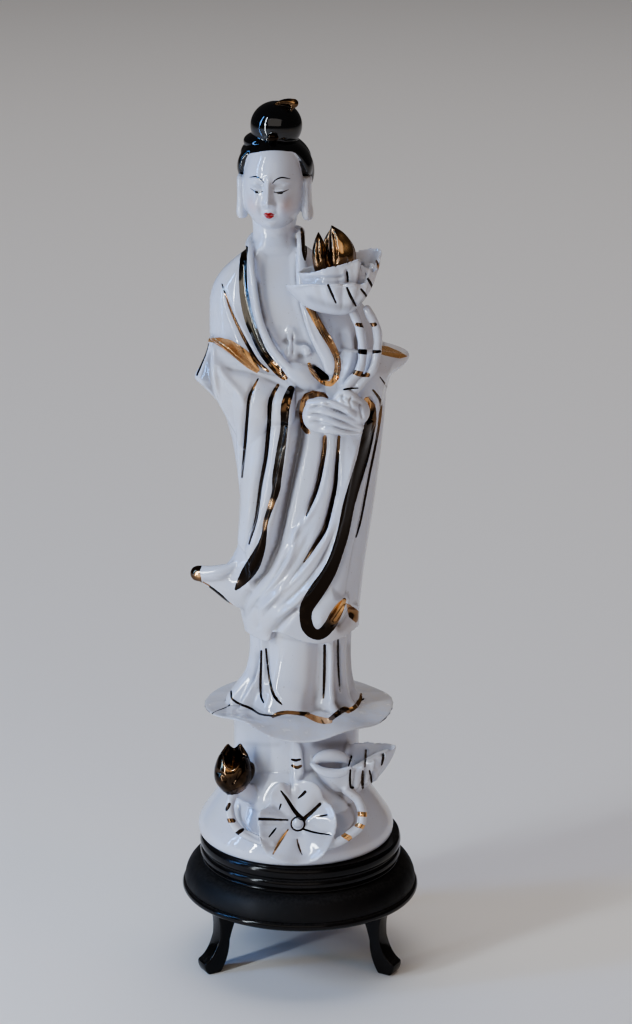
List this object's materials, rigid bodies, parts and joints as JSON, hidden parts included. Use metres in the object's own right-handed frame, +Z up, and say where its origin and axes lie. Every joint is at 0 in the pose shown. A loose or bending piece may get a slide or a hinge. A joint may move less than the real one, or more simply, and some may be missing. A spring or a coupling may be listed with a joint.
{
  "type": "guanyin figure",
  "caption": "Standing robed porcelain figure holding a lotus, on a flared pedestal with a wavy leaf, seated on a turned black wooden stand with cabriole legs.",
  "frame": {"origin": "middle of the stand's footprint, at the level of the feet", "axes": "+Z up, the figure faces -Y, +X to the viewer's right as seen from the front"},
  "size_m": [0.0992, 0.1, 0.3718],
  "materials": {
    "porcelain": "glossy clear glaze over white porcelain, with painted gold lustre lines and black glazed hair",
    "black_lacquer": "turned wood under black lacquer, semi-gloss, a little worn at the edges"
  },
  "bodies": {
    "root": {"guanyin_figure": "porcelain", "stand_top": "black_lacquer", "stand_leg_1": "black_lacquer", "stand_leg_2": "black_lacquer", "stand_leg_3": "black_lacquer"}
  },
  "joints": []
}
